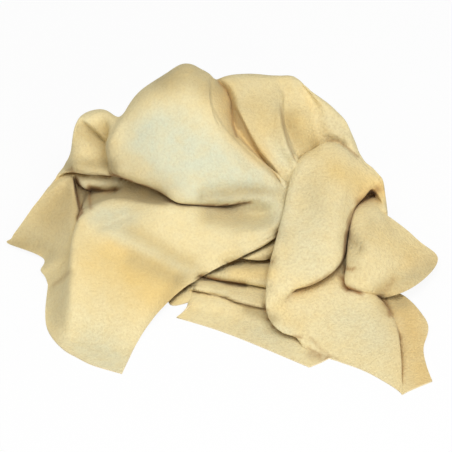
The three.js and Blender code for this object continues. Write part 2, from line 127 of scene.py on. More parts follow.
# Dome, the cave under its edge, and the lap that comes forward to the front-left flap
DOME_RIBS = [
    [
        under(0, -78, 342, 0), under(1, -80, 330, 14), under(2, -81, 302, 42), seen(3, -82, 217.5, 84),
        seen(4, -89.5, 203, 80), seen(5, -91.5, 190, 71), seen(6, -80, 170.5, 54),
        under(7, -70, 250, 46), seen(8, -84, 162.5, 41.8), seen(9, -106, 146, 42),
        seen(10, -114, 135, 42), seen(11, -118, 122, 39), seen(12, -120, 108, 35),
        seen(13, -120.5, 94, 29), seen(14, -122, 80, 21), seen(15, -126, 67, 12), seen(16, -133, 57, 3),
        seen(17, -139, 50, 0),
    ],
    [
        under(0, -68, 349, 0), under(1, -69, 338, 0), under(2, -71, 306, 53), seen(3, -72, 230.5, 97),
        seen(4, -76, 210, 91), seen(5, -74, 189, 78), seen(6, -65, 165, 56), under(7, -56, 246, 49),
        under(8, -70, 222, 43), seen(9, -90, 152.5, 45), seen(10, -98, 142, 44),
        seen(11, -102, 130, 41), seen(12, -105, 114, 36), seen(13, -108, 96, 30),
        seen(14, -110, 77, 22), seen(15, -112, 58, 12), seen(16, -113, 41, 0), seen(17, -113, 27, 0),
    ],
    [
        under(0, -56, 353, 0), under(1, -56, 342, 0), under(2, -58, 312, 62), seen(3, -59.5, 241, 111),
        seen(4, -57, 219, 103), seen(5, -54, 191, 85), seen(6, -49, 158.5, 57), under(7, -43, 234, 51),
        under(8, -56, 208, 47), seen(9, -70, 152, 45), seen(10, -75, 140, 44), seen(11, -79, 128, 40),
        seen(12, -82, 113, 33), seen(13, -87, 94, 27), seen(14, -91, 74, 20), seen(15, -94, 55, 11),
        seen(16, -96, 36, 0), seen(17, -97, 20, 0),
    ],
    [
        under(0, -43, 353, 0), under(1, -43, 341, 0), under(2, -43, 310, 72), seen(3, -45, 250.5, 120),
        seen(4, -42, 225, 110), seen(5, -39, 189, 85), seen(6, -36, 150.5, 54), under(7, -32, 216, 50),
        under(8, -41, 199, 48), seen(9, -50, 149, 50), seen(10, -54, 138, 47), seen(11, -57, 126, 41),
        seen(12, -60, 110, 32), seen(13, -65, 92, 25), seen(14, -70, 72, 18), seen(15, -74, 53, 10),
        seen(16, -77, 31, 0), seen(17, -79, 15, 0),
    ],
    [
        under(0, -32, 346, 0), under(1, -31, 332, 18), under(2, -30, 300, 84), seen(3, -30, 260, 128),
        seen(4, -28, 228, 114), seen(5, -25, 190, 87), seen(6, -22, 149.5, 52), under(7, -21, 207, 48),
        under(8, -25, 197, 46), seen(9, -28, 147, 49), seen(10, -31, 137, 46), seen(11, -34, 126, 41),
        seen(12, -37, 113, 34), seen(13, -41, 101, 28), seen(14, -46, 88, 22), seen(15, -51, 76, 16),
        seen(16, -56, 63, 9), seen(17, -60, 52, 3),
    ],
    [
        under(0, -20, 340, 0), under(1, -19, 324, 18), under(2, -18, 292, 82), seen(3, -19, 257, 124),
        seen(4, -16, 225, 112), seen(5, -8, 187, 86), seen(6, -3, 148.5, 50), under(7, -2, 200, 46),
        under(8, -3, 194, 44), seen(9, -4, 145, 47.5), seen(10, -5, 136, 45), seen(11, -7, 127, 41),
        seen(12, -10, 118, 36), seen(13, -14, 110, 32), seen(15, -22, 96, 21), seen(17, -30, 83, 11),
    ],
    [
        under(0, -12, 336, 0), under(1, -11, 318, 18), under(2, -10, 290, 78), seen(3, -11, 253, 120),
        seen(4, -9, 224, 110), seen(5, 7, 190, 88), seen(6, 22, 162, 66), seen(7, 28, 153, 58),
        seen(8, 30, 147, 52), seen(9, 30, 141, 48), seen(10, 29, 134, 45), seen(11, 27, 128, 42.5),
        seen(12, 24, 122, 40), seen(13, 21, 117, 37), seen(15, 15, 110.5, 31), seen(17, 8, 104.5, 26),
    ],
    [
        under(0, -6, 335, 0), under(1, -6, 317, 16), under(2, -6, 292, 74), seen(3, -8, 250, 116),
        seen(4, -10, 233, 111), seen(5, 0, 211, 99), seen(6, 20, 191, 82), seen(7, 38, 175, 69),
        seen(8, 50.5, 163, 58), seen(9, 52, 153, 51), seen(10, 50.5, 146, 48), seen(11, 49, 141, 46),
        seen(13, 47, 134, 42), seen(15, 46, 129.5, 38.5), seen(17, 45, 127, 35),
    ],
]

# Hollow behind the dome's edge, running under the lap to a small tongue
HOLLOW_RIBS = [
    [
        under(0, -3, 336, 0), under(1, -4, 318, 16), under(2, -4, 294, 72), seen(3, -6.5, 249, 113),
        seen(4, -3, 237, 108.5), seen(5, 3, 217, 97), seen(6, 16, 198, 84), seen(7, 32, 182, 71),
        seen(8, 46, 168, 59), under(9, 50, 197, 44), under(10, 40, 191, 39), under(11, 28, 187, 35),
        under(12, 18, 184, 32.5), under(13, 8, 181, 30), under(14, 0, 177, 28), under(15, -6, 172, 26),
        under(16, -11, 166, 24), under(17, -15, 159, 21),
    ],
    [
        under(0, 0, 337, 0), under(1, -1, 320, 16), under(2, -2, 296, 70), seen(3, -4, 248.5, 110),
        seen(4, 4, 238.5, 102), seen(5, 8.5, 220, 91), seen(6, 17, 202, 80), seen(7, 31, 186, 69),
        seen(8, 43, 173, 58), under(9, 46, 195, 39), under(10, 26, 184, 31), under(11, 10, 176, 25),
        under(12, -4, 168, 20), under(13, -15, 158, 15), under(14, -23, 148, 11.5),
        under(15, -30, 138, 8), seen(16, -38, 77, 4), seen(17, -43, 71, 2),
    ],
    [
        under(0, 7, 341, 0), under(1, 5, 325, 16), under(2, 4, 300, 70), seen(3, 1, 250.5, 110),
        seen(4, 10, 239, 106.5), seen(5, 14, 221, 98), seen(6, 24, 202.5, 85.5), seen(7, 36, 186, 73.5),
        seen(8, 47, 169.5, 59), under(9, 48, 187, 36), under(10, 22, 167, 27), under(11, 16, 167, 23.5),
        under(12, 6, 159, 19.5), under(13, -10, 147, 14), under(14, -14, 150, 10),
        under(15, -21, 136, 7), seen(16, -24, 79, 5), seen(17, -23, 73, 3),
    ],
]

# Back panel with its ridge, pleated below into the layers that show under the lap
STACK_RIBS = [
    [
        under(0, 15, 349, 0), under(1, 14, 337, 0), under(2, 11, 304, 70), seen(3, 9, 252, 109.5),
        seen(4, 19, 238, 105), seen(5, 23, 220, 96.8), seen(6, 31, 203, 86), seen(7, 42, 186, 73.5),
        seen(8, 51, 169, 58.5), under(9, 47, 178, 33), under(10, 13, 154, 23), under(11, 8, 165, 18.5),
        under(12, 2, 152, 16.5), seen(13, -14, 91.5, 12.5), under(14, -12, 146, 8.5),
        seen(15, -17, 80, 7.5), seen(16, -26, 67, 0), seen(17, -36, 59, 0),
    ],
    [
        under(0, 25, 353, 0), under(1, 23, 341, 0), under(2, 20, 310, 70), seen(3, 18, 252, 108.5),
        seen(4, 29, 238, 103.5), seen(5, 33, 220, 96.2), seen(6, 39, 203, 86.2),
        seen(7, 48, 187.5, 74.4), seen(8, 55, 172, 60.5), seen(9, 46, 126, 30), seen(10, 20, 106, 24.5),
        under(11, 18, 163, 19.5), seen(12, 14, 102, 18), seen(13, 10, 87.5, 15), under(14, 12, 142, 9),
        seen(15, 8, 74, 9), seen(16, 4, 60, 0), seen(17, 0, 48, 0),
    ],
    [
        under(0, 35, 353, 0), under(1, 34, 342, 0), under(2, 31, 312, 70), seen(3, 31, 251.5, 108),
        seen(4, 45, 239, 101), seen(5, 46, 221, 97), seen(6, 50.5, 203, 87), seen(7, 56, 189, 76),
        seen(8, 60, 180, 67), under(9, 54, 168, 31), seen(10, 42, 107, 25), under(11, 42, 165, 20),
        seen(12, 40, 103, 18.5), seen(13, 38, 83, 16), under(14, 38, 132, 10), seen(15, 38, 67, 9.5),
        seen(16, 38, 50, 0), seen(17, 38, 33, 0),
    ],
    [
        under(0, 46, 351, 0), under(1, 45, 340, 0), under(2, 43, 310, 68), seen(3, 43, 251, 106),
        seen(4, 50, 238, 97), seen(5, 49.5, 219.5, 90), seen(6, 54.5, 202, 79), seen(7, 60.5, 187, 68),
        under(8, 65, 216, 49), under(9, 62, 182, 35), under(10, 60, 158, 27), under(11, 62, 172, 20.5),
        under(12, 60, 148, 17), under(13, 59, 120, 14), under(14, 61, 132, 9), under(15, 62, 98, 5),
        under(16, 66, 60, 0), seen(17, 69, 20, 0),
    ],
    [
        under(0, 56, 344, 0), under(1, 54, 328, 18), under(2, 53, 304, 66), seen(3, 52, 252, 106),
        seen(4, 62, 237, 97), seen(5, 62, 219, 88), seen(6, 66, 203, 79), seen(7, 70, 190.5, 68),
        under(8, 72, 220, 52), under(9, 72, 192, 43), under(10, 73, 170, 35), under(11, 76, 162, 28),
        under(12, 77, 147, 23), under(13, 77, 130, 18), under(14, 78, 114, 12), under(15, 81, 96, 8),
        under(16, 86, 76, 2), under(17, 92, 56, 0),
    ],
]

# Scarf fold round its nose, and the front-right flap below it
SCARF_RIBS = [
    [
        under(0, 64, 338, 0), under(1, 63, 318, 18), under(2, 62, 296, 66), seen(3, 58, 250, 103),
        seen(4, 70, 236, 95), seen(5, 73, 219, 84.5), seen(6, 75, 205, 74), under(7, 76, 234, 60),
        under(8, 70, 224, 58), seen(9, 60, 179, 65), seen(10, 52, 155, 56), seen(11, 45, 125, 45),
        seen(12, 39, 100, 34), seen(13, 37.5, 78, 23), seen(14, 40, 60, 13), seen(15, 50, 47.5, 7),
        seen(16, 60, 44, 5), seen(17, 63, 39, 2),
    ],
    [
        under(0, 74, 332, 0), under(1, 72, 312, 18), under(2, 71, 290, 64), seen(3, 66, 243, 100),
        seen(4, 78, 229, 93), seen(5, 82, 214, 83), seen(6, 83, 203, 73), under(7, 82, 233, 60),
        under(8, 77.5, 227, 64), seen(9, 71, 191, 71), seen(10, 66, 160, 62), seen(11, 58, 122, 49),
        seen(12, 50, 92, 36), seen(13, 47, 75, 26), seen(14, 48, 68, 19), seen(15, 56, 59, 13),
        seen(16, 67, 48, 8), seen(17, 84, 27, 0),
    ],
    [
        under(0, 86, 331, 0), under(1, 84, 319, 0), under(2, 80, 286, 60), seen(3, 77, 235, 95),
        seen(4, 86, 221, 88), seen(5, 89.5, 208, 79), seen(6, 90, 200.5, 72.5), under(7, 88, 233, 64),
        under(8, 85.5, 229, 67), seen(9, 81, 197, 74), seen(10, 79, 165, 66), seen(11, 74, 128, 53),
        seen(12, 68, 86, 32), under(13, 72, 118, 26.5), under(14, 74, 112, 24.5), seen(15, 84, 70, 16),
        seen(16, 97, 45, 6), seen(17, 113, 17, 0),
    ],
    [
        under(0, 97, 325, 0), under(1, 94, 313, 0), under(2, 90, 280, 56), seen(3, 87, 228, 90),
        seen(4, 93, 214, 82), seen(5, 95.5, 204, 76), seen(6, 96, 198, 72), under(7, 94, 229, 67),
        under(8, 92, 228, 70), seen(9, 90, 197, 74), seen(10, 88, 167, 67), seen(11, 85, 132, 55),
        seen(12, 89, 99.5, 38), under(13, 94, 134, 31), under(14, 96, 128, 27), seen(15, 127.5, 72, 11),
        seen(16, 139, 42, 9), seen(17, 139.5, 1.8, 0.8),
    ],
]

# Pleat beside the front-right flap, then the right flap to its cut edge
RIGHT_RIBS = [
    [
        under(0, 105, 314, 0), under(1, 98.5, 276, 50), under(2, 96.4, 257, 78), seen(3, 96, 217, 83),
        seen(4, 97.5, 210, 79), seen(5, 98, 203, 76), seen(6, 98, 198, 73), seen(7, 97.5, 195, 72),
        seen(8, 97, 193, 72.5), seen(9, 96.5, 191, 73), seen(10, 94, 165, 66), seen(11, 92, 138, 56),
        seen(12, 96, 115, 43), under(13, 100, 160, 32), under(14, 102, 160, 18), under(15, 122, 100, 3),
        under(16, 134, 56, 2), seen(17, 144, 0.2, 0.3),
    ],
    [
        under(0, 108, 300, 0), under(1, 104.5, 268, 44), under(2, 102.4, 248.5, 72),
        seen(3, 102, 207, 77), seen(4, 102, 203, 75.5), seen(6, 102, 196, 72.5), seen(9, 101, 188, 71),
        seen(10, 98.5, 164, 64), seen(11, 97, 146, 56), seen(12, 99, 127, 46), under(13, 103, 176, 35),
        under(14, 105, 176, 18), under(15, 122, 103, 5), seen(16, 148, 30, 3), seen(17, 166, 9, 0),
    ],
    [
        under(0, 112, 288, 0), under(1, 109.5, 260, 38), under(2, 106.6, 241, 65.5),
        seen(3, 106, 197, 70), seen(6, 106, 191, 68.5), seen(9, 105.5, 184, 67),
        seen(10, 103.5, 165, 61), seen(11, 102, 153, 55), seen(12, 102, 138, 47),
        under(13, 106, 186, 37), under(14, 108, 186, 18), under(15, 127, 112, 5), seen(16, 150, 48, 4),
        seen(17, 159, 35, 2),
    ],
    [
        under(0, 116, 276, 0), under(1, 113, 250, 34), under(2, 110.2, 233.5, 60),
        seen(3, 109.5, 188, 64), seen(6, 110.5, 184, 63.5), seen(9, 111, 179, 62.5),
        seen(10, 109, 166.5, 58.5), seen(11, 107, 157, 54), seen(12, 105, 147, 49),
        under(13, 109, 194, 39), under(14, 112, 194, 19), under(15, 132, 118, 6), seen(16, 150, 66, 6),
        seen(17, 163, 55, 4),
    ],
    [
        under(0, 119, 262, 0), under(1, 118, 240, 32), under(2, 115.2, 226.5, 56.3),
        seen(3, 114.5, 181, 60), seen(6, 116, 177.5, 59.5), seen(9, 116.5, 174, 58.5),
        seen(10, 114, 166.5, 56), seen(11, 111.5, 160, 53), seen(12, 109, 152, 50),
        under(13, 112, 201, 41), under(14, 117, 201, 22), under(15, 128, 134, 8),
        under(16, 134, 126, 7), seen(17, 140, 76, 5),
    ],
    [
        under(0, 122, 250, 0), under(1, 122, 232, 30), under(2, 120.4, 221.7, 54.3),
        seen(3, 120, 177, 58), seen(6, 121.5, 174, 57), seen(9, 121.5, 171, 56.5),
        seen(10, 119.5, 166.5, 54.5), seen(11, 117, 162, 52.5), seen(12, 114, 156.5, 50),
        under(13, 113, 203, 42), seen(14, 102, 139, 43), seen(15, 99, 97.5, 31.5),
        seen(16, 100, 82.5, 22.5), seen(17, 127, 75, 9),
    ],
    [
        under(0, 124, 240, 0), under(1, 125, 226, 28), under(2, 125, 216.5, 51.5),
        seen(3, 125, 171.5, 55), seen(9, 126.5, 166, 53), seen(10, 124.5, 165, 52),
        seen(11, 122.5, 163, 51), seen(12, 120, 161, 49), seen(13, 119.5, 156, 35),
        seen(14, 119, 147, 46), seen(15, 118, 121, 43), seen(16, 124, 98, 29), seen(17, 143, 79, 12),
    ],
    [
        under(0, 124, 230, 0), under(1, 127, 218, 24), under(2, 128.8, 209, 47.5),
        seen(3, 129, 164, 51), seen(9, 129.5, 157, 48), seen(13, 127.5, 149, 44),
        seen(14, 126, 142, 41), seen(15, 139, 122, 32), seen(16, 150, 106, 21), seen(17, 161, 90, 10),
    ],
    [
        under(0, 126, 219, 0), under(1, 127, 214, 5), under(2, 129, 207, 14), under(3, 131, 203, 25),
        under(9, 131.5, 193, 33), under(13, 131, 185, 36), seen(14, 131, 140, 37),
        seen(15, 147, 128.5, 29), seen(16, 160, 117, 19), seen(17, 172, 106, 9),
    ],
]

RIBS = EAR_RIBS + DOME_RIBS + HOLLOW_RIBS + STACK_RIBS + SCARF_RIBS + RIGHT_RIBS

# A fold mark is a stroke on the drawing that lifts the skin towards the viewer, or presses it in where
# lift is negative. Millimetres. A mark on one side works left or right of the way its path runs.
Mark = namedtuple("Mark", "lift width path side", defaults=["both"])

BUMP_CREASE = [(-114, 218.5), (-108, 214), (-103, 210), (-97, 204.5), (-92, 198), (-90.5, 194)]
DOME_SIDE = [(-79, 221), (-86, 208), (-90, 199), (-91, 188), (-85, 175)]
LEFT_LIP = [(-117, 176), (-115, 175.3), (-110, 174), (-100, 172.8), (-90, 171.7), (-80, 171.3)]
LEFT_BUMP_MARKS = [
    Mark(4, 8, BUMP_CREASE, "left"),
    Mark(-4, 9, BUMP_CREASE, "right"),
    Mark(-2.5, 5, DOME_SIDE, "right"),
    Mark(2, 7, DOME_SIDE, "left"),
    Mark(4, 4, [(-121, 182), (-108, 178), (-95, 177), (-84, 176)]),
    Mark(-4, 5, [(-118, 192), (-106, 187), (-95, 187)]),
]

CAVE_STRIP = [
    (-122, 173.5), (-117, 170), (-112, 167), (-106, 163.3), (-98, 162), (-91, 161.5), (-84, 162.5),
    (-77, 165),
]
EAR_BORDER = [(-120.5, 174), (-118.5, 167), (-117.5, 160), (-116, 152), (-113, 139)]
CAVE_PANEL = [(-106.5, 164), (-106, 157), (-105.5, 151), (-104.5, 146)]
CAVE_MARKS = [
    Mark(-12, 3, [(-104, 160.5), (-97, 159.5), (-92, 159), (-86, 160.5)]),
    Mark(-5, 5, EAR_BORDER, "left"),
    Mark(5, 5, EAR_BORDER, "right"),
    Mark(-3, 7, CAVE_PANEL, "left"),
    Mark(2, 4, CAVE_PANEL, "right"),
]

DOME_EDGE = [
    (-10, 250), (-10, 240), (-9.5, 230), (-6, 222), (0, 212), (10, 200), (20, 190), (30, 181),
    (40, 172), (50, 162),
]
DOME_LIP = [
    (-82, 171.8), (-75, 168.5), (-70, 166), (-60, 162.5), (-50, 158.3), (-45, 155.3), (-40, 152),
    (-36, 149.6), (-20, 149), (0, 148), (10, 147.5), (20, 149),
]
PANEL_BORDER = [(8, 233), (14, 222), (20, 210), (27, 196), (35, 183), (44, 172), (51, 161)]
HOLLOW_LINE = [(-3, 247), (4, 240), (7.5, 232), (8, 222), (8.5, 212), (11, 203)]
HOLLOW_STRIP = [(10, 228), (13, 213), (24, 198)]
SWIRL_BAND = [(-14, 157.5), (5, 160.5), (20, 161), (34, 160)]
SWIRL_RING = [(44, 156), (48, 147), (46, 137), (36, 128.5), (15, 126)]
DOME_MARKS = [
    Mark(3, 4, DOME_EDGE, "right"),
    Mark(-5, 2.5, HOLLOW_LINE),
    Mark(2, 6, PANEL_BORDER, "left"),
    Mark(-3, 4, PANEL_BORDER, "right"),
    Mark(3, 5, [(-80, 177), (-62, 168), (-45, 160), (-32, 155), (-10, 154), (10, 153)]),
    Mark(-9, 8, [(-10, 142), (8, 140), (22, 140), (32, 141)]),
    Mark(-5, 4, SWIRL_BAND),
    Mark(3, 3.5, [(0, 153), (15, 154.5), (30, 154), (38, 150)]),
    Mark(4, 5, SWIRL_RING),
]

LAP_TOP = [(-113, 139), (-108, 145), (-100, 150), (-88, 154), (-75, 153), (-60, 150), (-40, 147)]
LAP_VALLEY = [(-73, 130), (-62, 124), (-52, 118), (-42, 111.5), (-33, 107), (-25, 104)]
LAP_RIDGE = [(-92, 127), (-75, 120), (-62, 113), (-48, 106), (-36, 99), (-25, 94)]
LAP_SLOPE = [(-103, 124), (-95, 119), (-88, 114), (-80, 110), (-70, 105), (-58, 100), (-48, 95), (-36, 90)]
LAP_CREASE = [(-98, 130), (-90, 131), (-85, 134), (-80, 136), (-73, 138.5)]
LAP_MARKS = [
    Mark(-3, 6, LAP_VALLEY),
    Mark(4, 8, LAP_RIDGE),
    Mark(-3, 8, LAP_SLOPE),
    Mark(-1.5, 1.6, LAP_CREASE),
    Mark(3, 5, LAP_TOP),
    Mark(-8, 11, LAP_TOP, "left"),
    Mark(3, 6, [(-117, 140), (-119, 120), (-119, 90), (-121, 60), (-125, 35)]),
    Mark(-5, 3, [(-138, 82), (-128, 88), (-120, 95)]),
    Mark(-3, 4, [(-142, 107), (-130, 110), (-121, 113)]),
]

LAP_HEM = [
    (-45, 71), (-38, 79), (-33, 83), (-28, 90), (-20, 94), (-10, 98), (0, 101), (10, 105), (20, 110),
    (30, 117), (44, 126),
]
STRIP_TOP = [(-30, 82), (-10, 79), (0, 77), (10, 72.5), (20, 69.5), (40, 65.5)]
FIRST_PLEAT = [(4, 102.5), (14, 104), (25, 103.5), (41, 105)]
SECOND_PLEAT = [(-17, 91.5), (-5, 89.5), (5, 87), (18, 85.5)]
STACK_MARKS = [
    Mark(-5, 3, FIRST_PLEAT),
    Mark(9, 7, [(20, 108), (34, 112), (44, 119)]),
    Mark(5, 5, [(8, 97), (22, 96), (38, 97)]),
    Mark(-9, 2.5, SECOND_PLEAT),
    Mark(-4, 2, [(14, 86), (25, 84.5), (38, 83)]),
    Mark(4, 6, STRIP_TOP, "left"),
    Mark(-4, 5, STRIP_TOP, "right"),
]

RIDGE = [(45, 234), (46, 222), (48, 210), (52, 196), (57, 185), (62, 178)]
BACK_PANEL_MARKS = [
    Mark(-3, 5, RIDGE, "left"),
    Mark(2, 4, RIDGE, "right"),
    Mark(3, 4, [(47, 221), (56, 218), (66, 220)]),
    Mark(-4, 3, [(86, 201), (92, 200), (97, 197), (102, 192), (107, 188)]),
]

SCARF_LEFT = [
    (75, 195), (66, 188), (61, 179), (57, 167), (53, 155), (50, 140), (47, 125), (43, 110), (40, 100),
    (38, 85),
]
NOSE = [(40, 60), (45, 52), (52, 46), (60, 44)]
SCARF_RIGHT = [
    (121, 159.5), (116, 156), (110, 152), (106, 147), (104, 142), (102, 136), (100, 130), (98.5, 122),
    (96.5, 114), (94, 106), (91, 99),
]
SCARF_LOW = [(90, 99), (85, 96), (78, 91), (70, 87), (60, 82), (53, 78), (48, 73), (45, 69)]
SCARF_MARKS = [Mark(2, 5, SCARF_LEFT, "left")]

RIGHT_FLAP_LOW = [(103, 98), (100, 93), (98.5, 88), (99, 84), (102, 81.5), (110, 78.5), (124, 77)]
FLAP_CREASE = [(101, 124), (106, 118.5), (112, 111.5)]
RIGHT_FLAP_HEM = [(125, 74), (133, 75), (140, 76.5)]
RIGHT_FLAP_MARKS = [
    Mark(4, 7, [(126, 143), (120, 130), (118, 120), (113, 109), (108, 97)]),
    Mark(-3, 6, [(102, 122), (106, 114), (108, 104)]),
    Mark(-4, 2.5, FLAP_CREASE),
    Mark(-3, 2.5, [(99, 98), (106, 97)]),
    Mark(-4, 4, [(142, 97), (134, 87), (127, 77)]),
]

FRONT_RIGHT_EDGE = [
    (126, 75), (128, 69), (131, 60), (135, 50), (140, 40), (142.5, 32), (143, 26), (142.5, 18),
    (141.5, 12), (141.5, 5),
]
NOSE_CREASE = [(69, 44), (75, 38), (80, 33), (85, 29), (92, 26)]
FRONT_RIGHT_MARKS = [
    Mark(-1.5, 1.8, NOSE_CREASE),
    Mark(-1.5, 1.6, [(65, 34), (69, 35.5), (73, 32.5), (78, 29.5), (82, 26.5)]),
]

# Folds whose border is a crisp line
CRISP_FOLDS = [
    BUMP_CREASE, LEFT_LIP, CAVE_STRIP, EAR_BORDER, CAVE_PANEL, DOME_EDGE, DOME_LIP, PANEL_BORDER,
    LAP_HEM, FIRST_PLEAT, SECOND_PLEAT, STRIP_TOP, RIDGE, NOSE, SCARF_RIGHT, SCARF_LOW, RIGHT_FLAP_LOW,
    RIGHT_FLAP_HEM, FRONT_RIGHT_EDGE,
]

# Folds that lie close over the skin below: under their edge a slot is pressed and a dark line of shade is
# painted
SHADED_FOLDS = [
    LEFT_LIP, CAVE_STRIP, EAR_BORDER, DOME_LIP, LAP_HEM, FIRST_PLEAT, STRIP_TOP, NOSE, SCARF_RIGHT,
    SCARF_LOW, RIGHT_FLAP_LOW, FRONT_RIGHT_EDGE,
]

FOLD_MARKS = (
    LEFT_BUMP_MARKS + CAVE_MARKS + DOME_MARKS + LAP_MARKS + STACK_MARKS + BACK_PANEL_MARKS
    + SCARF_MARKS + RIGHT_FLAP_MARKS + FRONT_RIGHT_MARKS
)

# Where the skin is more golden, pale, tan or darker than its cream, along short paths: the skin's own
# stains, painted highlight and painted shade
# Golden: partly the skin's oil stain, partly painted warm shade in the back panel's pocket, the lap's
# valleys and under the scarf's lip
GOLDEN_STAINS_AND_WARM_SHADE = [
    Mark(0.75, 24, [(-98, 104), (-78, 94), (-62, 84)]),
    Mark(0.5, 14, [(-62, 95), (-48, 87), (-44, 78)]),
    Mark(0.5, 8, LAP_SLOPE[2:]),
    Mark(0.35, 5, LAP_VALLEY),
    Mark(0.3, 16, [(-75, 228), (-40, 246)]),
    Mark(0.25, 8, [(-92, 212), (-84, 202)]),
    Mark(0.5, 12, [(28, 226), (36, 208)]),
    Mark(0.9, 10, [(56, 213), (62, 204), (68, 198)]),
    Mark(0.25, 16, [(70, 222), (92, 208)]),
    Mark(0.7, 12, [(90, 176), (112, 166), (124, 160)]),
    Mark(0.5, 14, [(128, 124), (150, 112)]),
    Mark(0.4, 8, [(44, 66), (52, 56), (60, 52)]),
    Mark(0.5, 6, [(62, 80), (80, 88), (92, 92)]),
    Mark(0.6, 6, [(10, 94), (38, 95)]),
]
# Pale: painted highlight, the paler, less saturated tone where light falls full on the dome, the ridges and
# the strips in the cave, with the skin's paler tone
PALE_TONE_AND_PAINTED_HIGHLIGHTS = [
    Mark(1.0, 26, [(-42, 205), (-25, 190), (0, 182), (18, 172)]),
    Mark(0.7, 16, [(-60, 200), (-40, 170), (-10, 160)]),
    Mark(0.5, 14, [(40, 150), (40, 138)]),
    Mark(0.8, 10, [(-98, 140), (-78, 138)]),
    Mark(0.7, 4, [(-112, 170), (-95, 166), (-82, 168)]),
    Mark(0.8, 5, [(-113, 162), (-110, 150)]),
    Mark(0.4, 10, [(44, 196), (50, 186)]),
    Mark(0.4, 12, [(84, 214), (98, 205)]),
    Mark(0.4, 4, HOLLOW_STRIP),
    Mark(0.35, 7, LAP_RIDGE),
    Mark(0.5, 16, [(-105, 40), (-88, 25)]),
    Mark(0.3, 14, [(72, 132), (66, 112), (78, 98)]),
    Mark(0.4, 12, [(48, 44), (30, 50)]),
    Mark(0.3, 16, [(100, 58), (122, 46)]),
]
# Tan: the ear's and right flap's own browner tone, and painted warm shade in the hollow behind the dome,
# the hole beside the scarf and short creases
TAN_STAINS_AND_WARM_SHADE = [
    Mark(0.7, 16, [(-135, 140), (-122, 156)]),
    Mark(1.0, 16, [(150, 66), (153, 42), (158, 10)]),
    Mark(0.8, 8, [(133, 68), (144, 71)]),
    Mark(1.0, 10, [(-3, 240), (2, 225), (12, 206), (28, 190)]),
    Mark(1.0, 7, [(112, 156), (122, 160), (130, 160)]),
    Mark(0.6, 10, [(150, 104), (168, 104)]),
    Mark(0.5, 6, [(126, 77), (135, 86)]),
    Mark(0.2, 10, [(96, 206), (80, 212)]),
    Mark(0.6, 6, [(34, 184), (44, 174)]),
]
# Painted shade: darker colour in the cave, the valleys and pockets, under lips and on faces turned from the
# light
PAINTED_SHADE_PATCHES = [
    Mark(0.5, 5, BUMP_CREASE, "right"),
    Mark(0.5, 7, [(-106, 203), (-99, 198), (-93, 195)]),
    Mark(0.8, 6, [(-120, 180), (-105, 180), (-88, 179)]),
    Mark(0.4, 5, [(-116, 212), (-116, 192)]),
    Mark(1.0, 12, LAP_TOP, "left"),
    Mark(0.8, 7, [(-102, 154), (-80, 157), (-58, 155)]),
    Mark(0.6, 20, [(-172, 118), (-146, 130), (-128, 150)]),
    Mark(0.5, 8, [(-168, 114), (-150, 115), (-138, 110)]),
    Mark(1.0, 12, [(-46, 248), (-26, 252), (-10, 244)]),
    Mark(0.45, 12, [(-82, 182), (-62, 172), (-42, 162)]),
    Mark(0.75, 9, [(-8, 142), (12, 139), (30, 140)]),
    Mark(0.7, 4.5, [(-16, 156.5), (-4, 158), (8, 160), (20, 161), (32, 161), (42, 158)]),
    Mark(0.3, 4, [(4, 156.5), (20, 157.5), (30, 156.5)]),
    Mark(0.4, 7, LAP_VALLEY),
    Mark(0.35, 6, [(-44, 77), (-32, 89), (-18, 97)]),
    Mark(0.75, 7, LAP_SLOPE[4:]),
    Mark(0.45, 9, [(-134, 88), (-131, 65), (-136, 44)]),
    Mark(0.4, 5, HOLLOW_STRIP),
    Mark(0.3, 14, [(14, 242), (50, 242)]),
    Mark(0.3, 14, [(26, 222), (40, 212)]),
    Mark(0.75, 8, [(54, 214), (60, 204), (66, 196)]),
    Mark(0.3, 11, [(72, 160), (78, 146)]),
    Mark(0.25, 9, [(50, 128), (46, 112)]),
    Mark(0.6, 8, [(101, 120), (103, 108), (104, 100)]),
    Mark(0.5, 2.5, FLAP_CREASE),
    Mark(0.35, 4, [(119, 134), (117, 124), (113, 115)]),
    Mark(0.7, 4, [(96, 97), (97, 87)]),
    Mark(0.65, 8, [(126, 82), (148, 89), (166, 98)]),
    Mark(0.7, 7, [(130, 68), (144, 71)]),
    Mark(1.0, 5, [(20, 65), (30, 61.5), (40, 58)]),
    Mark(0.5, 4, [(8, 101), (24, 100), (40, 101)]),
]

